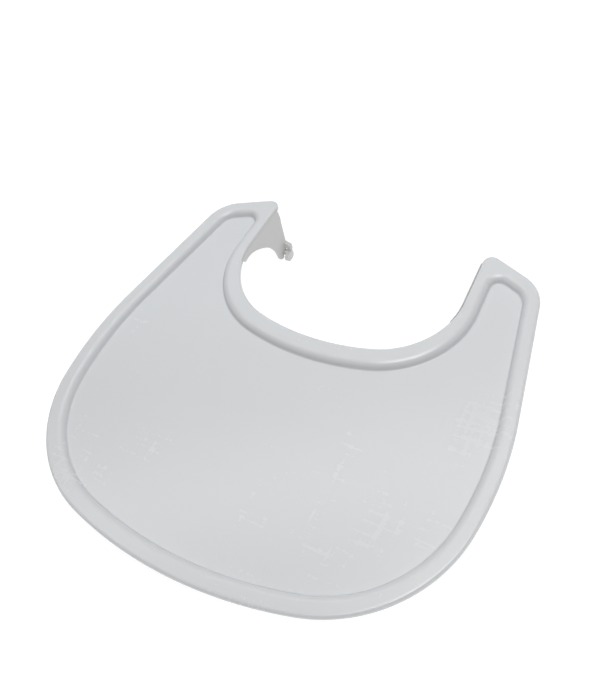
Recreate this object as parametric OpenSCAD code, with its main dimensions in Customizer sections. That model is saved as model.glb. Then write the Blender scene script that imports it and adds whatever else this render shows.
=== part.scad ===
// Detachable play and meal tray for a child's high chair: a moulded top with two clip-on arms.
// The top has a raised rim round a shallow well and a curved cut-out for the child's body.
// Under each horn an arm drops behind the chair's rail, with a sprung lock pin and a finger lever.
// Millimetres, +X to the right, +Y towards the child, +Z up. Left pieces mirror the right ones.

/* [Tray outline] */
// Radius of the front edge
front_r = 463; // [455:1:475]
// Turn of the front edge, in degrees, from the centre to its end
front_turn = 15.3; // [15:0.1:15.6]
// Radius of the front corners
side_r = 157; // [150:1:164]
// Turn of the front corners
side_turn = 66.9; // [66:0.1:68]
// Radius of the flanks
flank_r = 401; // [390:1:410]
// Turn of the flanks
flank_turn = 18; // [17:0.1:19]
// Straight run of the flanks up to the horns
flank_run = 142; // [136:1:148]
// Outer corner radius of the horns
horn_r = 45; // [40:1:50]
// Turn of the horns' outer corners
horn_turn = 56.5; // [55:0.1:58]
// Straight rear end of the horns
rear_run = 38.6; // [36:0.2:42]
// Inner corner radius of the horns
tip_r = 10.3; // [9:0.1:11]
// Straight inner edge of the horns
inner_run = 60.7; // [57:0.1:65]
// Slant of the horns' inner edges: the cut-out is narrower at the tips
inner_lean = 1.6; // [1:0.1:2]
// Radius at the sides of the cut-out
belly_r = 92.5; // [88:0.5:96]
// Turn at the sides of the cut-out
belly_turn = 76.5; // [75.5:0.1:77.5]

/* [Tray section] */
// Height of the rim's top over the lowest point of the arms
total_h = 78; // [76:0.5:82]
// Depth of the well below the rim
well_depth = 8; // [7:0.1:8.2]
// Thickness of the well's floor
floor_t = 2.7; // [2.2:0.1:3.2]
// Thickness of the rim
rim_t = 3; // [2.4:0.1:3.2]
// Depth of the edge that turns down round the rim
edge_h = 6; // [5:0.5:7]
// Width of the well's sloped wall
wall_w = 6; // [5.5:0.1:6.5]

/* [Well floor] */
// Distance from the tray's front edge to the floor
floor_front = 21.7; // [21:0.1:22.5]
// Radius of the floor's front edge
floor_front_r = 443.5; // [440:0.5:446]
// Radius of the floor's front corners
floor_side_r = 138; // [136:0.5:140]
// Radius of the floor's flanks
floor_flank_r = 393; // [388:1:398]
// Straight run of the floor's flanks
floor_flank_run = 136.6; // [135:0.1:138]
// Outer corner radius of the floor in the horns
floor_horn_r = 23; // [21:0.5:24]
// Straight rear end of the floor in the horns
floor_rear_run = 13.4; // [12:0.1:14]
// Inner corner radius of the floor in the horns
floor_tip_r = 10; // [9:0.1:10.5]
// Straight inner edge of the floor in the horns
floor_inner_run = 40.2; // [39:0.1:41]
// Radius of the floor at the sides of the cut-out
floor_belly_r = 107; // [106:0.5:108]

/* [Arms] */
// Distance from the centre line to the arm's inner face
arm_x = 128; // [127.6:0.1:128.2]
// Thickness of the arm's wall
web_t = 2.6; // [2.4:0.1:2.6]
// Distance from the front of the horn's straight edge to the arm's rear edge
leg_rear = 57.1; // [56.5:0.1:57.5]
// Radius of the arch in front of the leg
arch_r = 65.5; // [64:0.5:67]
// Height of the middle of the arch's curve
arch_z = 5.5; // [5:0.1:6]
// Radius of the leg's lower front corner
foot_r = 10; // [8:0.5:11]
// Width of the screw plate under the horn
plate_w = 29; // [27:1:30]
// Thickness of the screw plate
plate_t = 3; // [2.5:0.1:3.2]

/* [Lock] */
// Height of the lock pin's axis
bolt_z = 54; // [53.5:0.1:54.5]
// Diameter of the lock pin's guided part
bolt_d = 7; // [6.9:0.05:7]
// Diameter of the lock pin's free end
lock_d = 6; // [5:0.1:6.4]
// Travel of the lock pin
bolt_travel = 4.12; // [4:0.01:4.2]
// Height of the lever's pivot
pivot_z = 24; // [23.8:0.1:24.2]
// Diameter of the pivot pin
pivot_d = 3; // [2.6:0.1:3.2]
// Width of the lever
lever_w = 6.6; // [6:0.1:6.7]
// Thickness of the finger tab
tab_t = 5; // [4:0.1:5.5]
// Gap between the finger tab and the arm
tab_gap = 3; // [3:0.1:3.3]
// Wire diameter of the lock spring
wire_d = 0.6; // [0.5:0.05:0.65]
// Turns of the lock spring
coils = 4; // [3:0.5:4.5]

/* [Hidden] */
$fn = 48;

// How many steps each move of the outline is divided into
steps = [8, 16, 8, 1, 8, 1, 8, 1, 14, 6];
tip_turn = 270 + inner_lean - front_turn - side_turn - flank_turn - horn_turn;
waist_turn = 90 + inner_lean - belly_turn;

// An outline is a list of moves [radius or length, turn]; a turn of 0 is a straight run.
// dims are its ten radii and lengths, and inset moves the whole of it inwards.
function outline(dims, inset) =
    [[dims[0] - inset, front_turn], [dims[1] - inset, side_turn], [dims[2] - inset, flank_turn],
     [dims[3], 0], [dims[4] - inset, horn_turn], [dims[5], 0], [dims[6] - inset, tip_turn],
     [dims[7], 0], [dims[8] + inset, -belly_turn], [dims[9] + inset, -waist_turn]];

// Where a fraction of a move ends, from a state [x, y, heading].
function moved(s, m, part) =
    m[1] == 0
    ? [s[0] + part * m[0] * cos(s[2]), s[1] + part * m[0] * sin(s[2]), s[2]]
    : let (r = sign(m[1]) * m[0], h = s[2] + part * m[1])
      [s[0] + r * (sin(h) - sin(s[2])), s[1] - r * (cos(h) - cos(s[2])), h];

// All the points of a list of moves, the start left out.
function walk(moves, s, i = 0) =
    i == len(moves) ? []
    : concat([for (k = [1 : steps[i]]) moved(s, moves[i], k / steps[i])],
             walk(moves, moved(s, moves[i], 1), i + 1));

// The tenth radius, the waist's, closes an outline on the centre line.
function closed(dims, front) =
    let (pts = walk(outline(concat(dims, [1]), 0), [0, front, 0]),
         n = len(pts) - steps[9] - 1)
    concat(dims, [pts[n][0] / sin(waist_turn)]);
rim_dims = closed([front_r, side_r, flank_r, flank_run, horn_r, rear_run, tip_r, inner_run, belly_r], 0);
well_dims = closed([floor_front_r, floor_side_r, floor_flank_r, floor_flank_run, floor_horn_r,
    floor_rear_run, floor_tip_r, floor_inner_run, floor_belly_r], floor_front);

// The right half, from the front's centre to the cut-out's centre, with y counted from the front.
function rim_half(inset) = walk(outline(rim_dims, inset), [0, inset, 0]);
function well_half(inset) = walk(outline(well_dims, inset), [0, floor_front + inset, 0]);
bare = rim_half(0);
depth = max([for (p = bare) p[1]]);

// The whole closed outline from its right half, centred front to back.
function ring(half, front) =
    let (n = len(half))
    concat([[0, front - depth / 2]],
           [for (p = half) [p[0], p[1] - depth / 2]],
           [for (i = [n - 2 : -1 : 0]) [-half[i][0], half[i][1] - depth / 2]]);
function rim_ring(inset) = ring(rim_half(inset), inset);
function well_ring(inset) = ring(well_half(inset), floor_front + inset);

// Places worked out from the outline
function total(list, n) = n == 0 ? 0 : list[n - 1] + total(list, n - 1);
n_inner = total(steps, 8);
edge_x = bare[n_inner - 1][0];
bend_y = bare[n_inner - 1][1] - depth / 2;

// Heights
rim_z = total_h;
floor_z = rim_z - well_depth;
under_z = floor_z - floor_t;
channel_z = rim_z - rim_t;
plate_top = under_z - 0.5;
plate_z = plate_top - plate_t;

// Arm
fit = 0.2;
rear_y = bend_y + leg_rear;
arch_y = rear_y - 85.8;
foot_z = 5;
notch_z = 14;
notch_y = rear_y - 10.7;
plate_y = rear_y - 59;
plate_l = 50;
screw_x = edge_x + 10;
seam_z = rim_z - 1.6;
roll_h = 20;
roll_w = edge_x - arm_x - fit;
screw_y = [for (k = [6, 23, 40]) plate_y + k];
thread_d = 2.8;

// Latch housing
case_y = rear_y - 6;
case_w = 10.8;
case_in = 7.2;
case_x = arm_x + web_t;
low_x = case_x + 8.2;
high_x = case_x + 14.4;
cover_t = 1.6;
case_z = 20;
step_z = 46;
pivot_x = case_x + 4.4;
fork_x = case_x + 10;
ear = [case_y - 7.7, 41];
top_screw_z = plate_z - 3.2;
tab_x = arm_x - tab_gap;
spring_start = case_x + 0.15;
bolt_start = case_x + 7.5;

abs_white = [0.93, 0.94, 0.95];
steel = [0.7, 0.71, 0.73];
grey_rubber = [0.45, 0.46, 0.48];

// A solid between rings of points of equal length; closed joins the last ring to the first.
module loft(rings, closed) {
    n = len(rings[0]);
    m = len(rings);
    last = closed ? m - 1 : m - 2;
    walls = [for (j = [0 : last], i = [0 : n - 1]) let (a = j * n + i, b = j * n + (i + 1) % n,
        c = ((j + 1) % m) * n + (i + 1) % n, d = ((j + 1) % m) * n + i) each [[a, b, c], [a, c, d]]];
    caps = closed ? [] : [[for (i = [n - 1 : -1 : 0]) i], [for (i = [0 : n - 1]) (m - 1) * n + i]];
    polyhedron([for (r = rings) each r], concat(walls, caps));
}

// A section carried round the tray: each point is [outline, inset, height], where outline 0 is
// the rim's and outline 1 is the well floor's.
module swept(section) {
    flat = [for (s = section) s[0] == 0 ? rim_ring(s[1]) : well_ring(s[1])];
    loft([for (i = [0 : len(flat[0]) - 1])
        [for (k = [0 : len(section) - 1]) [flat[k][i][0], flat[k][i][1], section[k][2]]]], true);
}

module prism(points, x0, x1) {
    translate([x0, 0, 0]) rotate([90, 0, 90]) linear_extrude(x1 - x0) polygon(points);
}

module bar_along_y(points, y0, y1) {
    translate([0, y1, 0]) rotate([90, 0, 0]) linear_extrude(y1 - y0) polygon(points);
}

module block(low, high) {
    translate(low) cube(high - low);
}

module rod_x(d, x0, x1, y, z) {
    translate([x0, y, z]) rotate([0, 90, 0]) cylinder(h = x1 - x0, d = d);
}

module rod_y(d, y0, y1, x, z) {
    translate([x, y1, z]) rotate([90, 0, 0]) cylinder(h = y1 - y0, d = d);
}

module left() {
    mirror([1, 0, 0]) children();
}

module tray_top() {
    lip = 2.5;
    section = [
        [0, 0, rim_z - edge_h],
        [0, 0, rim_z - 1.9],
        [0, 0.6, rim_z - 0.6],
        [0, 2.2, rim_z],
        [1, -wall_w - 0.9, rim_z],
        [1, 0.4 - wall_w, rim_z - 0.8],
        [1, -0.9, floor_z + 0.6],
        [1, 0.9, floor_z],
        [1, 0.9, under_z],
        [1, -2.6, under_z],
        [1, -wall_w - 2, channel_z],
        [0, lip, channel_z],
        [0, lip, rim_z - edge_h]];
    color(abs_white) difference() {
        union() {
            swept(section);
            translate([0, 0, under_z]) linear_extrude(floor_t) polygon(well_ring(0.1));
            for (side = [-1, 1], y = screw_y)
                translate([side * screw_x, y, plate_top]) cylinder(h = channel_z - plate_top + 0.5, d = 8);
        }
        for (side = [-1, 1], y = screw_y)
            translate([side * screw_x, y, plate_top - 1])
                cylinder(h = rim_z - 1.6 - plate_top + 1, d = thread_d);
    }
}

// Side view of the arm's wall: rear edge, finger notch, foot, the arch's long curve and the front end.
function arm_side() =
    let (foot_a = asin((foot_z + foot_r - arch_z) / arch_r),
         foot_y = arch_y + arch_r * cos(foot_a) + foot_r,
         nose_a = 82,
         nose_r = 7,
         nose_y = arch_y + arch_r * cos(nose_a) - 3,
         nose_z = arch_z + arch_r * sin(nose_a) + 0.4)
    concat(
        [[rear_y + 2, rim_z], [rear_y + 1.2, rim_z - 9], [rear_y + 0.3, rim_z - 17], [rear_y, rim_z - 24],
         [rear_y, notch_z], [notch_y, notch_z], [notch_y, foot_z]],
        [for (a = [270 : -15 : 195]) [foot_y + foot_r * cos(a), foot_z + foot_r + foot_r * sin(a)]],
        [for (a = [foot_a : (nose_a - foot_a) / 16 : nose_a + 0.01])
            [arch_y + arch_r * cos(a), arch_z + arch_r * sin(a)]],
        [for (a = [270 : -15 : 180]) [nose_y + nose_r * cos(a), nose_z + nose_r + nose_r * sin(a)]],
        [[nose_y - nose_r, rim_z]]);

// The space the arm may fill beside and under the tray's edge. Its near face is the shoulder,
// which rolls over from the seam at the edge down to the plane of the wall.
module arm_space() {
    roll = [for (k = [8 : -1 : 0]) [-fit - roll_w * k / 8, seam_z - roll_h * pow(k / 8, 1.65)]];
    under = rim_z - edge_h;
    section = concat([[-roll_w - 3, -1], [-roll_w - 3, under - roll_h - 10]], roll,
        [[-fit, under], [9, under], [9, -1]]);
    flat = [for (s = section) rim_half(s[0])];
    loft([for (i = [n_inner - 2 : n_inner + 4])
        [for (k = [0 : len(section) - 1]) [flat[k][i][0], flat[k][i][1] - depth / 2, section[k][1]]]], false);
}

module arm() {
    reach_x = edge_x - arm_x + 1;
    y0 = case_y - case_w / 2;
    y1 = case_y + case_w / 2;
    in0 = case_y - case_in / 2;
    in1 = case_y + case_in / 2;
    difference() {
        union() {
            // wall, and the rolled shoulder that fills the space up to the tray's edge
            intersection() {
                bar_along_y([[arm_x, 0], [arm_x, rim_z], [arm_x + reach_x, rim_z],
                    [arm_x + reach_x, plate_z - 1], [case_x, plate_z - 3], [case_x, 0]],
                    rear_y - 100, rear_y + 4);
                prism(arm_side(), arm_x - 1, edge_x + 2);
                arm_space();
            }
            // screw plate
            block([edge_x - 2, plate_y, plate_z], [edge_x + plate_w - 3.5, plate_y + plate_l, plate_top]);
            // latch housing
            block([case_x - 0.4, y0, case_z], [low_x, y1, step_z]);
            block([case_x - 0.4, y0, step_z - 0.1], [high_x, y1, plate_z + 0.1]);
            rod_x(5, case_x - 0.4, low_x, ear[0], ear[1]);
            // hood over the finger tab
            bar_along_y([[arm_x + 0.6, 25.8], [arm_x - 6.8, 22.9], [arm_x - 8, 22.1], [arm_x - 8.4, 21],
                [arm_x - 8.4, notch_z + 0.2], [arm_x + 0.6, notch_z + 3.2]], rear_y - 5, rear_y);
        }
        block([case_x, in0, case_z - 1], [low_x + 1, in1, step_z]);
        block([case_x, in0, step_z - 1], [high_x + 1, in1, bolt_z + case_in / 2]);
        rod_y(pivot_d + 0.02, y0 - 1, y1 + 1, pivot_x, pivot_z);
        rod_x(1.75, low_x - 6, low_x + 1, ear[0], ear[1]);
        rod_x(1.75, high_x - 7, high_x + 1, case_y, top_screw_z);
        for (y = screw_y)
            translate([screw_x, y, plate_z - 1]) cylinder(h = plate_t + 2, d = 3.6);
    }
    // rest stop for the lever
    block([case_x - 0.1, in0, notch_z + 0.5], [pivot_x - 1.8, in1, notch_z + 4]);
}

module arm_screws() {
    for (y = screw_y) {
        translate([screw_x, y, plate_z]) cylinder(h = rim_z - 2.2 - plate_z, d = thread_d - 0.04);
        translate([screw_x, y, plate_z - 2.2]) cylinder(h = 2.2, d1 = 5.4, d2 = 6.5);
    }
}

module rail_pad() {
    x0 = screw_x + 5;
    translate([0, 0, plate_z - 1.6]) linear_extrude(1.6) hull()
        for (x = [x0 + 3, x0 + 7], y = [plate_y + 5, plate_y + 36]) translate([x, y]) circle(3);
}

module latch_lever() {
    y0 = case_y - lever_w / 2;
    y1 = case_y + lever_w / 2;
    thick = 1.7;
    inner = fork_x - thick / 2;
    outer = fork_x + thick / 2;
    difference() {
        union() {
            rod_y(6.4, y0, y1, pivot_x, pivot_z);
            // upper limb and fork
            bar_along_y([[pivot_x - 1.5, pivot_z], [pivot_x + 1.5, pivot_z], [low_x - 0.6, step_z + 0.6],
                [outer, step_z + 3.4], [outer, bolt_z + 2.8], [inner, bolt_z + 2.8],
                [inner, step_z + 4.8], [low_x - 2.9, step_z + 1.6]], y0, y1);
            // lower limb and the arm across to the tab
            bar_along_y([[pivot_x - 1.5, pivot_z], [pivot_x - 1.5, 12.6], [tab_x - 1, 12.6], [tab_x - 1, 7.6],
                [pivot_x + 1.5, 7.6], [pivot_x + 1.5, pivot_z]], y0, y1);
            // finger tab
            translate([tab_x - tab_t, 0, 0]) rotate([90, 0, 90]) linear_extrude(tab_t) hull() {
                translate([rear_y - 9, 6.2]) circle(5.6);
                translate([rear_y - 5.8, 5.8]) circle(5.8);
                translate([rear_y - 3.4, 11]) circle(2.6);
            }
        }
        rod_y(pivot_d + 0.06, y0 - 1, y1 + 1, pivot_x, pivot_z);
        block([inner - 1, case_y - 2.15, bolt_z - 3], [outer + 1, case_y + 2.15, bolt_z + 4]);
    }
}

module pivot_pin() {
    rod_y(pivot_d, case_y - case_w / 2 + 0.2, case_y + case_w / 2 - 0.2, pivot_x, pivot_z);
}

module lock_bolt() {
    neck0 = fork_x - 1.5;
    neck1 = fork_x + 1.5;
    shoulder_x = high_x + cover_t + 0.3;
    tip_x = high_x + cover_t + bolt_travel;
    rod_x(bolt_d, bolt_start, neck0, case_y, bolt_z);
    rod_x(4, neck0 - 0.1, neck1 + 0.1, case_y, bolt_z);
    rod_x(bolt_d, neck1, shoulder_x, case_y, bolt_z);
    rod_x(lock_d, shoulder_x, tip_x - 0.7, case_y, bolt_z);
    translate([tip_x - 0.7, case_y, bolt_z]) rotate([0, 90, 0])
        cylinder(h = 0.7, d1 = lock_d, d2 = lock_d - 1.4);
}

module lock_spring() {
    r = 2.6;
    sides = 6;
    per_turn = 12;
    length = bolt_start - 0.15 - spring_start - wire_d;
    rings = [for (i = [0 : per_turn * coils]) let (a = 360 * i / per_turn, t = i / (per_turn * coils))
        [for (k = [0 : sides - 1]) let (b = 360 * k / sides, q = r + wire_d / 2 * cos(b))
            [spring_start + wire_d / 2 + t * length + wire_d / 2 * sin(b),
             case_y + q * cos(a), bolt_z + q * sin(a)]]];
    loft(rings, false);
}

module latch_cover() {
    y0 = case_y - case_w / 2;
    y1 = case_y + case_w / 2;
    difference() {
        union() {
            block([low_x, y0, case_z], [low_x + cover_t, y1, step_z - 0.1]);
            block([low_x, y0, step_z - cover_t], [high_x + cover_t, y1, step_z - 0.1]);
            block([high_x, y0, step_z - cover_t], [high_x + cover_t, y1, plate_z]);
            translate([low_x, 0, 0]) rotate([90, 0, 90]) linear_extrude(cover_t) hull() {
                translate(ear) circle(2.6);
                translate([y0 + 1, ear[1] + 3]) circle(1);
                translate([y0 + 1, ear[1] - 3]) circle(1);
            }
        }
        rod_x(bolt_d + 0.2, high_x - 1, high_x + cover_t + 1, case_y, bolt_z);
        rod_x(2.2, low_x - 1, low_x + cover_t + 1, ear[0], ear[1]);
        rod_x(2.2, high_x - 1, high_x + cover_t + 1, case_y, top_screw_z);
    }
}

module cover_screws() {
    for (s = [[low_x, ear[0], ear[1]], [high_x, case_y, top_screw_z]]) {
        rod_x(1.7, s[0] - 5.5, s[0] + cover_t, s[1], s[2]);
        rod_x(3.6, s[0] + cover_t, s[0] + cover_t + 1.2, s[1], s[2]);
    }
}

tray_top();
color(abs_white) arm();  // right_arm
color(abs_white) left() arm();  // left_arm
color(steel) arm_screws();  // right_arm_screws
color(steel) left() arm_screws();  // left_arm_screws
color(grey_rubber) rail_pad();  // right_rail_pad
color(grey_rubber) left() rail_pad();  // left_rail_pad
color(abs_white) latch_lever();  // right_latch_lever
color(abs_white) left() latch_lever();  // left_latch_lever
color(steel) pivot_pin();  // right_pivot_pin
color(steel) left() pivot_pin();  // left_pivot_pin
color(steel) lock_bolt();  // right_lock_bolt
color(steel) left() lock_bolt();  // left_lock_bolt
color(steel) lock_spring();  // right_lock_spring
color(steel) left() lock_spring();  // left_lock_spring
color(abs_white) latch_cover();  // right_latch_cover
color(abs_white) left() latch_cover();  // left_latch_cover
color(steel) cover_screws();  // right_cover_screws
color(steel) left() cover_screws();  // left_cover_screws
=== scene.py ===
import math

import bmesh
import bpy
from mathutils import Matrix, Vector


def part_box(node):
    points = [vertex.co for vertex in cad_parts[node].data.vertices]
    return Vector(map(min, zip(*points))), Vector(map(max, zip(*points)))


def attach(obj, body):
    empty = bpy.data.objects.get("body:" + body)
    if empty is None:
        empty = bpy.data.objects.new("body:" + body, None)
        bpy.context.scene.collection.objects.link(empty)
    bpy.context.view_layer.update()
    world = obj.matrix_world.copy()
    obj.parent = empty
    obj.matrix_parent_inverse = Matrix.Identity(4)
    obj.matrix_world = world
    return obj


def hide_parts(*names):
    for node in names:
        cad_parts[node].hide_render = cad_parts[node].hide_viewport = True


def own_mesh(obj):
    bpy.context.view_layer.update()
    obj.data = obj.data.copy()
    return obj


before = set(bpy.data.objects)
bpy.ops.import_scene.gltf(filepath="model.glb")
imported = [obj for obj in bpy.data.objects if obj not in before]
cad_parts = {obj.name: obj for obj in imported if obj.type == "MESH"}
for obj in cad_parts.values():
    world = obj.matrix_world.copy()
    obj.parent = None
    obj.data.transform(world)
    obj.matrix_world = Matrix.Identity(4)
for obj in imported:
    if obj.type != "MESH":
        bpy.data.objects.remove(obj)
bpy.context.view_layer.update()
print("frame loaded")

mm = 0.001    # the meshes are drawn in millimetres and brought to metres at the end
sides = {"right": 1, "left": -1}


def spinVert(bm, vert, heading, radius, turn, steps):
    # draws an arc from a vertex along its heading; a positive turn is to the left
    side = 1 if turn > 0 else -1
    h = math.radians(heading)
    centre = vert.co + Vector((-math.sin(h), math.cos(h), 0)) * radius * side
    made = bmesh.ops.spin(bm, geom=[vert], cent=centre, axis=(0, 0, 1), dvec=(0, 0, 0),
                          angle=math.radians(turn), steps=steps, use_duplicate=False)
    return [g for g in made["geom_last"] if isinstance(g, bmesh.types.BMVert)][0], heading + turn


def runVert(bm, vert, heading, length, steps):
    # draws a straight run from a vertex
    h = math.radians(heading)
    step = Vector((math.cos(h), math.sin(h), 0)) * length / steps
    for _ in range(steps):
        new = bmesh.ops.extrude_vert_indiv(bm, verts=[vert])["verts"][0]
        bmesh.ops.translate(bm, verts=[new], vec=step)
        vert = new
    return vert


def drawPath(bm, start, moves):
    # moves are (radius or length, turn, steps); returns the new edges
    before = set(bm.edges)
    vert, heading = bm.verts.new(start), 0.0
    for size, turn, steps in moves:
        if turn:
            vert, heading = spinVert(bm, vert, heading, size, turn, steps)
        else:
            vert = runVert(bm, vert, heading, size, steps)
    return [e for e in bm.edges if e not in before]


def facesOf(geom):
    return [g for g in geom if isinstance(g, bmesh.types.BMFace)]


def sharpEdges(bm, degrees):
    limit = math.radians(degrees)
    return [e for e in bm.edges if len(e.link_faces) == 2 and e.calc_face_angle(0) > limit]


def bevelEdges(bm, edges, width, segments):
    bmesh.ops.bevel(bm, geom=edges, offset=width, offset_type="OFFSET", segments=segments,
                    profile=0.5, affect="EDGES", clamp_overlap=True, material=-1)


def finishMesh(bm, name, smoothAngle=40):
    # one object from a bmesh in metres, smooth apart from its sharp edges
    for f in bm.faces:
        f.smooth = True
    for e in bm.edges:
        e.smooth = not (len(e.link_faces) == 2 and e.calc_face_angle(0) > math.radians(smoothAngle))
    mesh = bpy.data.meshes.new(name)
    bm.to_mesh(mesh)
    bm.free()
    piece = bpy.data.objects.new(name, mesh)
    bpy.context.scene.collection.objects.link(piece)
    return piece


def cadCopy(node):
    # a clean copy of a CAD node's mesh, with its flat faces whole
    bm = bmesh.new()
    bm.from_mesh(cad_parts[node].data)
    bmesh.ops.remove_doubles(bm, verts=bm.verts, dist=0.002 * mm)
    bmesh.ops.dissolve_limit(bm, angle_limit=math.radians(0.6), use_dissolve_boundaries=False,
                             verts=bm.verts, edges=bm.edges)
    return bm


def place(piece, body, node, material):
    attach(piece, body)
    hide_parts(node)
    piece.data.materials.clear()
    piece.data.materials.append(material)


def newMaterial(name):
    mat = bpy.data.materials.new(name)
    mat.use_nodes = True
    tree = mat.node_tree
    shader = tree.nodes["Principled BSDF"]
    coords = tree.nodes.new("ShaderNodeTexCoord")
    return mat, tree, shader, coords


def addNoise(tree, coords, scale, detail, stretch=(1, 1, 1), turn=0.0):
    mapping = tree.nodes.new("ShaderNodeMapping")
    mapping.inputs["Scale"].default_value = stretch
    mapping.inputs["Rotation"].default_value = (0, 0, turn)
    noise = tree.nodes.new("ShaderNodeTexNoise")
    noise.inputs["Scale"].default_value = scale
    noise.inputs["Detail"].default_value = detail
    noise.inputs["Roughness"].default_value = 0.55
    tree.links.new(coords.outputs["Object"], mapping.inputs["Vector"])
    tree.links.new(mapping.outputs["Vector"], noise.inputs["Vector"])
    return noise.outputs["Fac"]


def addRamp(tree, value, low, high, colorLow, colorHigh):
    ramp = tree.nodes.new("ShaderNodeValToRGB")
    ramp.color_ramp.elements[0].position = low
    ramp.color_ramp.elements[0].color = (*colorLow, 1)
    ramp.color_ramp.elements[1].position = high
    ramp.color_ramp.elements[1].color = (*colorHigh, 1)
    tree.links.new(value, ramp.inputs["Fac"])
    return ramp.outputs["Color"]


def addRange(tree, value, low, high, toLow, toHigh):
    node = tree.nodes.new("ShaderNodeMapRange")
    for key, number in (("From Min", low), ("From Max", high), ("To Min", toLow), ("To Max", toHigh)):
        node.inputs[key].default_value = number
    tree.links.new(value, node.inputs["Value"])
    return node.outputs["Result"]


def addMath(tree, kind, a, b):
    node = tree.nodes.new("ShaderNodeMath")
    node.operation = kind
    for socket, value in zip(node.inputs, (a, b)):
        if isinstance(value, (int, float)):
            socket.default_value = value
        else:
            tree.links.new(value, socket)
    return node.outputs[0]


def addBump(tree, shader, height, strength, distance):
    bump = tree.nodes.new("ShaderNodeBump")
    bump.inputs["Strength"].default_value = strength
    bump.inputs["Distance"].default_value = distance
    tree.links.new(height, bump.inputs["Height"])
    tree.links.new(bump.outputs["Normal"], shader.inputs["Normal"])


plastic = {
    "tray": {"dark": (0.655, 0.666, 0.684), "light": (0.662, 0.673, 0.690),
             "rough": (0.255, 0.275), "grain": 0.04},
    # the arms' plastic is darker and warmer than the tray's: painted shade for their walls, added to the
    # shade the lamps give
    "arm": {"dark": (0.560, 0.566, 0.558), "light": (0.576, 0.581, 0.572),
            "rough": (0.38, 0.44), "grain": 0.10},
    "lever": {"dark": (0.585, 0.590, 0.580), "light": (0.620, 0.624, 0.614),
              "rough": (0.30, 0.40), "grain": 0.04},
    "bolt": {"dark": (0.270, 0.280, 0.300), "light": (0.330, 0.340, 0.355),
             "rough": (0.40, 0.52), "grain": 0.12},
}
plasticScale = {"tone": 9.0, "toneShare": 0.8, "speck": 340.0, "grain": 2600.0, "depth": 0.00006, "ior": 1.53}
toneSpan = (0.3, 0.7)    # where a noise's values mostly lie
wipeMarks = {"scale": 24.0, "span": (0.50, 0.75),
             "ways": (((1, 9, 1), 0.5, 0.006), ((8, 1, 1), 0.2, 0.005))}    # stretch, turn, strength


def plasticMaterial(name, look, wiped=False):
    mat, tree, shader, coords = newMaterial(name)
    share = plasticScale["toneShare"]
    tone = addMath(tree, "MULTIPLY", addNoise(tree, coords, plasticScale["tone"], 3.0), share)
    speck = addMath(tree, "MULTIPLY", addNoise(tree, coords, plasticScale["speck"], 2.0), 1 - share)
    mixed = addMath(tree, "ADD", tone, speck)
    color = addRamp(tree, mixed, *toneSpan, look["dark"], look["light"])
    tree.links.new(color, shader.inputs["Base Color"])
    rough = addRange(tree, mixed, *toneSpan, *look["rough"])
    if wiped:
        # faint wipe marks in two directions, seen only in the gloss
        for stretch, turn, strength in wipeMarks["ways"]:
            mark = addNoise(tree, coords, wipeMarks["scale"], 2.0, stretch, turn)
            mark = addRange(tree, mark, *wipeMarks["span"], 0, strength)
            rough = addMath(tree, "ADD", rough, mark)
    tree.links.new(rough, shader.inputs["Roughness"])
    grain = addNoise(tree, coords, plasticScale["grain"], 2.0)
    addBump(tree, shader, grain, look["grain"], plasticScale["depth"])
    shader.inputs["IOR"].default_value = plasticScale["ior"]
    return mat


metals = {
    "zinc": {"dark": (0.52, 0.53, 0.55), "light": (0.68, 0.69, 0.71), "rough": (0.28, 0.42), "scale": 420.0},
    "pin": {"dark": (0.50, 0.50, 0.51), "light": (0.62, 0.62, 0.63), "rough": (0.18, 0.26), "scale": 900.0},
    "spring": {"dark": (0.38, 0.38, 0.40), "light": (0.52, 0.52, 0.54),
               "rough": (0.24, 0.34), "scale": 1200.0},
}
metalFleck = {"span": (0.35, 0.65), "bump": 0.12, "depth": 0.00003}


def metalMaterial(name, look, stretch=(1, 1, 1)):
    mat, tree, shader, coords = newMaterial(name)
    shader.inputs["Metallic"].default_value = 1.0
    fleck = addNoise(tree, coords, look["scale"], 3.0, stretch)
    color = addRamp(tree, fleck, *metalFleck["span"], look["dark"], look["light"])
    tree.links.new(color, shader.inputs["Base Color"])
    tree.links.new(addRange(tree, fleck, *toneSpan, *look["rough"]), shader.inputs["Roughness"])
    addBump(tree, shader, fleck, metalFleck["bump"], metalFleck["depth"])
    return mat


rubber = {"dark": (0.075, 0.078, 0.082), "light": (0.105, 0.108, 0.112), "rough": (0.66, 0.80),
          "tone": 120.0, "grain": 3200.0, "bump": 0.25, "depth": 0.00006}


def rubberMaterial(name):
    mat, tree, shader, coords = newMaterial(name)
    tone = addNoise(tree, coords, rubber["tone"], 4.0)
    color = addRamp(tree, tone, *toneSpan, rubber["dark"], rubber["light"])
    tree.links.new(color, shader.inputs["Base Color"])
    tree.links.new(addRange(tree, tone, *toneSpan, *rubber["rough"]), shader.inputs["Roughness"])
    addBump(tree, shader, addNoise(tree, coords, rubber["grain"], 2.0), rubber["bump"], rubber["depth"])
    return mat


finishes = {
    "tray_white": plasticMaterial("trayAbs", plastic["tray"], wiped=True),
    "arm_white": plasticMaterial("armAbsPaintedShade", plastic["arm"]),
    "lever_white": plasticMaterial("leverAcetal", plastic["lever"]),
    "bolt_acetal": plasticMaterial("boltNylon", plastic["bolt"]),
    "pad_rubber": rubberMaterial("padRubber"),
    "zinc_steel": metalMaterial("zincPlate", metals["zinc"]),
    "pin_steel": metalMaterial("groundPin", metals["pin"], (1, 0.1, 1)),
    "spring_steel": metalMaterial("springWire", metals["spring"]),
}
print("materials made")


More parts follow.
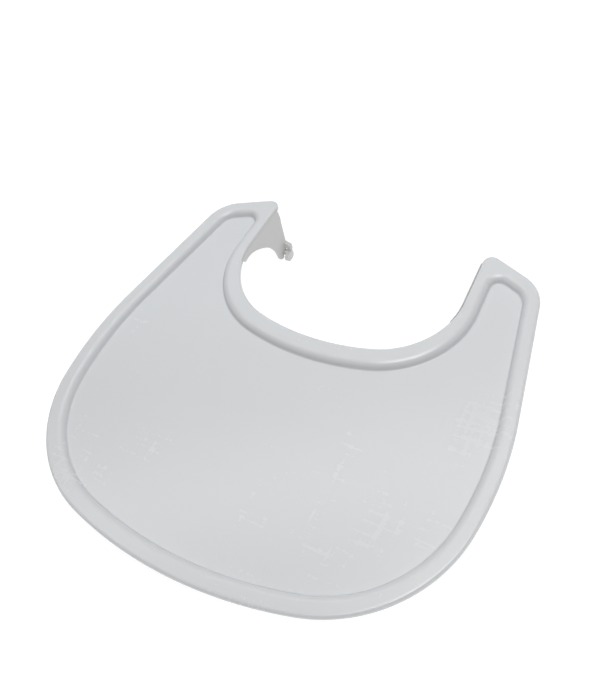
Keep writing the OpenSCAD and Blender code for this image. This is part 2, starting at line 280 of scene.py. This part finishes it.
# millimetres and degrees; the moves go from the front's centre round the right side to the waist
trayShape = {
    "turns": (15.3, 66.9, 18.0, 0, 56.5, 0, 114.9, 0, -76.5, -15.1),
    "rim": [463.0, 157.0, 401.0, 142.0, 45.0, 38.6, 10.3, 60.7, 92.5],
    "floor": [443.5, 138.0, 393.0, 136.6, 23.0, 13.4, 10.0, 40.2, 107.0],
    "floorFront": 21.7,
    "steps": (12, 30, 10, 8, 18, 4, 16, 6, 30, 8),
    "depth": 8.0, "floorThick": 2.7, "rimThick": 3.0, "edge": 6.0,
    "edgeRound": 2.8, "crest": 8.0, "foot": 2.0, "hem": 0.7, "steepness": 70,
    "flat": (1.0, 0.6, 1.2),    # short flats beside the edge, the crest and the foot
    "cell": 13.0,    # spacing of the floor's faces
}

# the underside, from the floor out to the hem: each point is an inset and a height over its level
underShape = {
    "wellBack": ((4.0, 0), (0.6, 0), (-1.4, 0.2), (-2.6, 1.0)),
    "channelIn": ((-7.2, -0.9), (-8.2, -0.2), (-9.4, 0)),
    "channelOut": ((4.1, 0), (3.0, -0.4), (2.5, -1.4)),
    "hemInner": ((2.5, 0.4), (2.1, 0)),
}


def closedDims(dims):
    # adds the waist's radius, which brings the path back to the centre line
    x, heading = 0.0, 0.0
    for size, turn in zip(dims, trayShape["turns"]):
        h = math.radians(heading)
        if turn:
            side = 1 if turn > 0 else -1
            x += side * size * (math.sin(math.radians(heading + turn)) - math.sin(h))
            heading += turn
        else:
            x += size * math.cos(h)
    return dims + [x / math.sin(math.radians(-trayShape["turns"][-1]))]


rimDims = closedDims(trayShape["rim"])
floorDims = closedDims(trayShape["floor"])
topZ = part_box("tray_top")[1].z / mm
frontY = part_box("tray_top")[0].y / mm


def trayLoop(bm, outline, inset, height):
    # one closed loop round the tray, inset from the rim's edge or from the floor's edge
    dims, front = (rimDims, 0.0) if outline == "rim" else (floorDims, trayShape["floorFront"])
    moves = []
    for size, turn, steps in zip(dims, trayShape["turns"], trayShape["steps"]):
        if turn > 0:
            size -= inset
        elif turn < 0:
            size += inset
        moves.append((size, turn, steps))
    edges = drawPath(bm, (0, frontY + front + inset, height), moves)
    verts = list(dict.fromkeys(v for e in edges for v in e.verts))
    before = set(bm.edges) - set(edges)
    bmesh.ops.mirror(bm, geom=verts + edges, matrix=Matrix(), merge_dist=0.01, axis="X")
    return [e for e in bm.edges if e not in before]


def traySection():
    # (outline, inset, height) from the hem, up over the rim, down the wall to the floor
    s = trayShape
    hem, over, crest, foot = s["hem"], s["edgeRound"], s["crest"], s["foot"]
    slope = math.radians(s["steepness"])
    floorZ = topZ - s["depth"]
    byEdge, byCrest, byFoot = s["flat"]
    points = []
    for a in [math.radians(30 * k) for k in range(4)]:
        points.append(("rim", hem - hem * math.sin(a), topZ - s["edge"] + hem - hem * math.cos(a)))
    for a in [math.radians(15 * k) for k in range(7)]:
        points.append(("rim", over - over * math.cos(a), topZ - over + over * math.sin(a)))
    points.append(("rim", over + byEdge, topZ))
    # the wall is steep at its foot and rolls over into the rim
    brow = crest * math.sin(slope) + (s["depth"] - crest * (1 - math.cos(slope))) / math.tan(slope)
    points.append(("floor", -brow - byCrest, topZ))
    for a in [slope * k / 10 for k in range(11)]:
        points.append(("floor", -brow + crest * math.sin(a), topZ - crest + crest * math.cos(a)))
    low = foot * math.tan(slope / 2)
    for a in [slope * (1 - k / 6) for k in range(7)]:
        points.append(("floor", low - foot * math.sin(a), floorZ + foot - foot * math.cos(a)))
    points.append(("floor", low + byFoot, floorZ))
    return points


def underSection():
    # the same for the underside, from the floor out to the inside of the hem
    s = trayShape
    levels = {"wellBack": ("floor", topZ - s["depth"] - s["floorThick"]),
              "channelIn": ("floor", topZ - s["rimThick"]),
              "channelOut": ("rim", topZ - s["rimThick"]),
              "hemInner": ("rim", topZ - s["edge"])}
    return [(levels[key][0], inset, levels[key][1] + height)
            for key, points in underShape.items() for inset, height in points]


def fillFloor(bm, edges, cell):
    # one face in the loop, cut into a grid if a cell size is given
    part = facesOf(bmesh.ops.contextual_create(bm, geom=edges)["faces"])
    if not cell:
        return
    xs = [v.co.x for v in part[0].verts]
    ys = [v.co.y for v in part[0].verts]
    cuts = [(Vector((x, 0, 0)), Vector((1, 0, 0))) for x in spread(min(xs), max(xs), cell)]
    cuts += [(Vector((0, y, 0)), Vector((0, 1, 0))) for y in spread(min(ys), max(ys), cell)]
    for point, normal in cuts:
        bound = dict.fromkeys(e for f in part for e in f.edges)
        corners = dict.fromkeys(v for f in part for v in f.verts)
        made = bmesh.ops.bisect_plane(bm, geom=part + list(bound) + list(corners), dist=0.001,
                                      plane_co=point, plane_no=normal)
        part = facesOf(made["geom"])


def spread(low, high, step):
    count = int((high - low) / step)
    return [low + (high - low) * (k + 0.5) / count for k in range(count)]


def buildTray():
    bm = bmesh.new()
    loops = [trayLoop(bm, *p) for p in traySection()]
    under = [trayLoop(bm, *p) for p in underSection()]
    order = loops + under + loops[:1]
    for a, b in zip(order[:-1], order[1:]):
        if a is loops[-1]:
            continue    # the floor closes this gap, above and below
        bmesh.ops.bridge_loops(bm, edges=a + b)
    fillFloor(bm, loops[-1], trayShape["cell"])
    fillFloor(bm, under[0], 0)
    bmesh.ops.remove_doubles(bm, verts=bm.verts, dist=0.001)
    bmesh.ops.recalc_face_normals(bm, faces=bm.faces)
    return bm


crown = {"rise": 0.35, "half": 225.0, "start": 25.0, "long": 260.0}


def crownFloor(bm):
    # the well's floor rises very slightly to its middle, as moulded floors do
    floorZ = topZ - trayShape["depth"]
    for v in bm.verts:
        back = v.co.y - frontY - crown["start"]
        if abs(v.co.z - floorZ) < 0.01 and 0 < back < crown["long"]:
            across = max(1 - (v.co.x / crown["half"]) ** 2, 0)
            v.co.z += crown["rise"] * across * math.sin(math.pi * back / crown["long"])


# both screws: radii, heights and the drive's cross, in millimetres
screwShape = {"shank": 1.38, "head": 3.25, "neck": 2.7, "headHigh": 2.2, "crown": 0.45,
              "slot": 0.75, "slotLong": 3.52, "slotDeep": 1.1, "pitch": 1.0, "thread": 0.3,
              "firstTurn": 0.4, "nextTurn": 0.9}
coverScrewShape = {"shank": 0.85, "head": 1.8, "neck": 1.5, "headHigh": 1.2, "crown": 0.3,
                   "slot": 0.45, "slotLong": 2.0, "slotDeep": 0.7, "pitch": 0.6, "thread": 0.15,
                   "firstTurn": 0.3, "nextTurn": 1.0, "long": 8.3, "coverThick": 1.6}
bossShape = {"radius": 4.0, "flare": 0.8, "rise": 5.0, "round": 0.4, "plateThick": 3.0}


def addBosses(bm):
    # screw bosses under the horns, over each arm screw
    boss = bossShape
    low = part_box("right_arm_screws")[0].z / mm + screwShape["headHigh"] + boss["plateThick"]
    for side in sides.values():
        for y in screwRows():
            made = bmesh.ops.create_cone(bm, cap_ends=True, segments=32, radius1=boss["radius"],
                                         radius2=boss["radius"] + boss["flare"], depth=boss["rise"])
            bmesh.ops.translate(bm, verts=made["verts"], vec=(side * screwX(), y, low + boss["rise"] / 2))
            edges = dict.fromkeys(e for v in made["verts"] for e in v.link_edges)
            rim = [e for e in edges if all(abs(v.co.z - low) < 0.01 for v in e.verts)]
            bevelEdges(bm, rim, boss["round"], 2)


def screwX():
    low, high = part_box("right_arm_screws")
    return (low.x + high.x) / 2 / mm


def screwRows():
    # the three screws' places, from the box of the group
    low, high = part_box("right_arm_screws")
    first = low.y / mm + screwShape["head"]
    last = high.y / mm - screwShape["head"]
    return [first, (first + last) / 2, last]


def makeTray():
    bm = buildTray()
    crownFloor(bm)
    addBosses(bm)
    bmesh.ops.scale(bm, vec=(mm, mm, mm), verts=bm.verts)
    piece = finishMesh(bm, "tray_shell", 50)
    place(piece, "tray", "tray_top", finishes["tray_white"])


makeTray()
print("tray made")


# the rounding of each kind of CAD piece, and the body and slot it takes
softened = {
    "arm": {"width": 0.45, "segments": 3, "angle": 28, "slot": "arm_white", "body": "tray"},
    "latch_lever": {"width": 0.7, "segments": 3, "angle": 40, "slot": "lever_white", "body": "lever"},
    "latch_cover": {"width": 0.3, "segments": 2, "angle": 30, "slot": "arm_white", "body": "tray"},
    "rail_pad": {"width": 0.4, "segments": 3, "angle": 50, "slot": "pad_rubber", "body": "tray"},
    "lock_bolt": {"width": 0.18, "segments": 2, "angle": 30, "slot": "bolt_acetal", "body": "bolt"},
    "pivot_pin": {"width": 0.25, "segments": 2, "angle": 50, "slot": "pin_steel", "body": "tray"},
}


def makeSoftened():
    for kind, look in softened.items():
        for side in sides:
            node = side + "_" + kind
            bm = cadCopy(node)
            bevelEdges(bm, sharpEdges(bm, look["angle"]), look["width"] * mm, look["segments"])
            piece = finishMesh(bm, node + "_moulded", 35)
            body = look["body"] if look["body"] == "tray" else side + "_" + look["body"]
            place(piece, body, node, finishes[look["slot"]])


makeSoftened()
print("arms and latch pieces made")


# shared by both screws: the head's bowl as shares of its radius and crown, then lengths
screwTurning = {"bowl": ((0, 1), (0.5, 0.85), (0.8, 0.45), (0.97, 0)), "rim": 0.25,
                "threadStart": 0.4, "bare": 1.0, "tipLong": 0.4, "tipStep": 0.1, "segments": 32}


def turnedProfile(bm, points, segments):
    # a closed turned shape about Z from (radius, height) points
    chain = [bm.verts.new((points[0][0], 0, points[0][1]))]
    for radius, height in points[1:]:
        new = bmesh.ops.extrude_vert_indiv(bm, verts=[chain[-1]])["verts"][0]
        new.co = Vector((radius, 0, height))
        chain.append(new)
    edges = list(dict.fromkeys(e for v in chain for e in v.link_edges))
    bmesh.ops.spin(bm, geom=chain + edges, cent=(0, 0, 0), axis=(0, 0, 1), dvec=(0, 0, 0),
                   angle=math.tau, steps=segments, use_merge=True, use_duplicate=False)
    bmesh.ops.remove_doubles(bm, verts=bm.verts, dist=0.0005)


def screwMesh(s, length):
    # head down at z 0, point up; the drive is a cross recess in the head's underside
    turning = screwTurning
    root = s["shank"] - s["thread"]
    points = [(s["head"] * across, -s["crown"] * deep) for across, deep in turning["bowl"]]
    points += [(s["head"], turning["rim"]), (s["neck"], s["headHigh"]), (s["shank"], s["headHigh"])]
    for k in range(int((length - s["headHigh"] - turning["bare"]) / s["pitch"])):
        base = s["headHigh"] + turning["threadStart"] + k * s["pitch"]
        points += [(root, base), (s["shank"], base + s["pitch"] * 0.45), (root, base + s["pitch"] * 0.9)]
    points += [(root - turning["tipStep"], length - turning["tipLong"]), (0, length)]
    bm = bmesh.new()
    turnedProfile(bm, points, turning["segments"])
    bmesh.ops.recalc_face_normals(bm, faces=bm.faces)
    return bm


def cutterMesh(s):
    # the cross of the drive recess
    bm = bmesh.new()
    for turn in (0, math.pi / 2):
        made = bmesh.ops.create_cube(bm, size=1.0)
        bmesh.ops.scale(bm, vec=(s["slotLong"], s["slot"], s["slotDeep"] * 2), verts=made["verts"])
        bmesh.ops.translate(bm, vec=(0, 0, -s["crown"]), verts=made["verts"])
        bmesh.ops.rotate(bm, cent=(0, 0, 0), matrix=Matrix.Rotation(turn, 3, "Z"), verts=made["verts"])
    return bm


def recessed(bm, cutter):
    # the recess is cut with a boolean, and the result is the piece's own mesh
    work = finishMesh(bm, "screwWork")
    tool = finishMesh(cutter, "screwTool")
    cut = work.modifiers.new("recess", "BOOLEAN")
    cut.operation = "DIFFERENCE"
    cut.solver = "EXACT"
    cut.object = tool
    cut.use_self = True
    graph = bpy.context.evaluated_depsgraph_get()
    out = bmesh.new()
    out.from_mesh(work.evaluated_get(graph).to_mesh())
    for used in (work, tool):
        mesh = used.data
        bpy.data.objects.remove(used)
        bpy.data.meshes.remove(mesh)
    return out


def joinCopies(source, matrices):
    # copies of one bmesh, each under its own matrix
    out = bmesh.new()
    for m in matrices:
        copy = source.copy()
        bmesh.ops.transform(copy, matrix=m, verts=copy.verts)
        if m.determinant() < 0:
            bmesh.ops.reverse_faces(copy, faces=copy.faces)
        mesh = bpy.data.meshes.new("part")
        copy.to_mesh(mesh)
        out.from_mesh(mesh)
        bpy.data.meshes.remove(mesh)
        copy.free()
    return out


def screwSpots(s, places, lay, flip):
    # each screw's own matrix: turned a little from its neighbour, laid down, placed and mirrored
    size = Matrix.Scale(mm, 4)
    return [flip @ Matrix.Translation(at) @ lay @ size
            @ Matrix.Rotation(s["firstTurn"] + s["nextTurn"] * k, 4, "Z") for k, at in enumerate(places)]


def makeScrews():
    low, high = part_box("right_arm_screws")
    armScrew = recessed(screwMesh(screwShape, (high.z - low.z) / mm), cutterMesh(screwShape))
    armPlaces = [(screwX() * mm, y * mm, low.z) for y in screwRows()]
    s = coverScrewShape
    coverScrew = recessed(screwMesh(s, s["long"]), cutterMesh(s))
    low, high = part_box("right_cover_screws")
    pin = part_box("right_pivot_pin")
    radius = s["head"] * mm
    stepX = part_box("right_latch_cover")[0].x + (s["coverThick"] + s["headHigh"]) * mm
    coverPlaces = [(high.x, (pin[0].y + pin[1].y) / 2, high.z - radius),
                   (stepX, low.y + radius, low.z + radius)]
    upright = Matrix()
    sideways = Matrix.Rotation(-math.pi / 2, 4, "Y")    # the screw's point turns to -X
    kinds = {"arm_screws": (armScrew, screwShape, armPlaces, upright),
             "cover_screws": (coverScrew, coverScrewShape, coverPlaces, sideways)}
    for side, sign in sides.items():
        flip = Matrix.Scale(sign, 4, (1, 0, 0))
        for kind, (screw, shape, places, lay) in kinds.items():
            node = side + "_" + kind
            piece = finishMesh(joinCopies(screw, screwSpots(shape, places, lay, flip)), node + "_turned", 38)
            place(piece, "tray", node, finishes["zinc_steel"])


makeScrews()
print("screws made")


springShape = {"wire": 0.3, "radius": 2.6, "turns": 4, "perTurn": 28, "sides": 10, "travel": 4.12}


def makeSprings():
    wire, radius = springShape["wire"] * mm, springShape["radius"] * mm
    steps = springShape["turns"] * springShape["perTurn"]
    for side, sign in sides.items():
        low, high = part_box(side + "_lock_spring")
        start = low.x if sign > 0 else high.x
        centre = Vector((start + sign * wire, (low.y + high.y) / 2, (low.z + high.z) / 2))
        bm = bmesh.new()
        bmesh.ops.create_circle(bm, cap_ends=True, segments=springShape["sides"], radius=wire)
        bmesh.ops.rotate(bm, cent=(0, 0, 0), matrix=Matrix.Rotation(math.pi / 2, 3, "Z"), verts=bm.verts)
        bmesh.ops.translate(bm, vec=centre + Vector((0, radius, 0)), verts=bm.verts)
        rise = sign * (high.x - low.x - 2 * wire) / steps
        bmesh.ops.spin(bm, geom=bm.faces[:] + bm.edges[:] + bm.verts[:], cent=centre, axis=(1, 0, 0),
                       dvec=(rise, 0, 0), angle=math.tau * springShape["turns"], steps=steps,
                       use_duplicate=False)
        bmesh.ops.remove_doubles(bm, verts=bm.verts, dist=0.0005 * mm)
        bmesh.ops.recalc_face_normals(bm, faces=bm.faces)
        piece = finishMesh(bm, side + "_lock_spring_coiled", 60)
        place(piece, "tray", side + "_lock_spring", finishes["spring_steel"])
        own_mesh(piece)


makeSprings()
print("springs made")


floorLook = {"size": 40.0, "drop": 0.0005, "glow": 0.90, "pale": (0.2, 0.2, 0.2, 1)}


def makeFloor():
    # a white floor with a faint shadow, clear from below
    bm = bmesh.new()
    bmesh.ops.create_grid(bm, x_segments=1, y_segments=1, size=floorLook["size"])
    floor = finishMesh(bm, "studioFloor")
    floor.location.z = -floorLook["drop"]
    mat = bpy.data.materials.new("paleFloor")
    mat.use_nodes = True
    tree = mat.node_tree
    tree.nodes.remove(tree.nodes["Principled BSDF"])
    glow = tree.nodes.new("ShaderNodeEmission")
    glow.inputs["Color"].default_value = (1, 1, 1, 1)
    glow.inputs["Strength"].default_value = floorLook["glow"]
    pale = tree.nodes.new("ShaderNodeBsdfDiffuse")
    pale.inputs["Color"].default_value = floorLook["pale"]
    add = tree.nodes.new("ShaderNodeAddShader")
    tree.links.new(glow.outputs[0], add.inputs[0])
    tree.links.new(pale.outputs[0], add.inputs[1])
    clear = tree.nodes.new("ShaderNodeBsdfTransparent")
    under = tree.nodes.new("ShaderNodeNewGeometry")
    mix = tree.nodes.new("ShaderNodeMixShader")
    tree.links.new(under.outputs["Backfacing"], mix.inputs["Fac"])
    tree.links.new(add.outputs[0], mix.inputs[1])
    tree.links.new(clear.outputs[0], mix.inputs[2])
    tree.links.new(mix.outputs[0], tree.nodes["Material Output"].inputs["Surface"])
    floor.data.materials.append(mat)


backdrop = {"overhead": 0.28, "horizon": 0.62, "low": 0.02, "high": 0.34, "tint": (0.97, 0.985, 1.0, 1)}


def makeWorld():
    # pale at the horizon and dimmer overhead
    world = bpy.data.worlds.new("studioWorld")
    world.use_nodes = True
    tree = world.node_tree
    coords = tree.nodes.new("ShaderNodeTexCoord")
    split = tree.nodes.new("ShaderNodeSeparateXYZ")
    tree.links.new(coords.outputs["Generated"], split.inputs[0])
    strength = addRange(tree, split.outputs["Z"], backdrop["low"], backdrop["high"],
                        backdrop["horizon"], backdrop["overhead"])
    tree.nodes["Background"].inputs["Color"].default_value = backdrop["tint"]
    tree.links.new(strength, tree.nodes["Background"].inputs["Strength"])
    bpy.context.scene.world = world


lamps = {
    "keyPanel": {"place": (0.45, 0.05, 2.0), "size": (1.0, 1.0), "turn": 0, "watts": 20.5,
                 "tint": (1.0, 0.995, 0.985)},
    "stripPanel": {"place": (-0.70, 0.60, 2.0), "size": (2.4, 0.30), "turn": 32, "watts": 9.0,
                   "tint": (1.0, 0.99, 0.98)},
    "backPanel": {"place": (-1.0, 1.75, 2.0), "size": (2.6, 0.9), "turn": 32, "watts": 9.5,
                  "tint": (0.93, 1.0, 1.0)},
}


def makeLamps():
    # flat panels, all facing straight down
    for name, lamp in lamps.items():
        data = bpy.data.lights.new(name, "AREA")
        data.shape = "RECTANGLE"
        data.size, data.size_y = lamp["size"]
        data.energy = lamp["watts"]
        data.color = lamp["tint"]
        panel = bpy.data.objects.new(name, data)
        bpy.context.scene.collection.objects.link(panel)
        panel.location = lamp["place"]
        panel.rotation_euler.z = math.radians(lamp["turn"])


shot = {"eye": (0.33087, -0.35706, 0.75352), "forward": (-0.39078, 0.46526, -0.79425),
        "right": (0.8734, 0.45984, -0.16035), "lens": 41.142857, "sensor": 36.0,
        "clip": (0.02, 30)}


def makeCamera():
    data = bpy.data.cameras.new("mainCamera")
    data.sensor_width = shot["sensor"]
    data.lens = shot["lens"]
    data.clip_start, data.clip_end = shot["clip"]
    cam = bpy.data.objects.new("mainCamera", data)
    bpy.context.scene.collection.objects.link(cam)
    back = -Vector(shot["forward"]).normalized()
    right = Vector(shot["right"])
    right = (right - back * right.dot(back)).normalized()
    up = back.cross(right)
    turn = Matrix((right, up, back)).transposed()
    cam.matrix_world = Matrix.Translation(shot["eye"]) @ turn.to_4x4()
    bpy.context.scene.camera = cam


makeFloor()
makeWorld()
makeLamps()
makeCamera()
bpy.context.scene.view_settings.view_transform = "Standard"
print("stage, lamps and camera made")
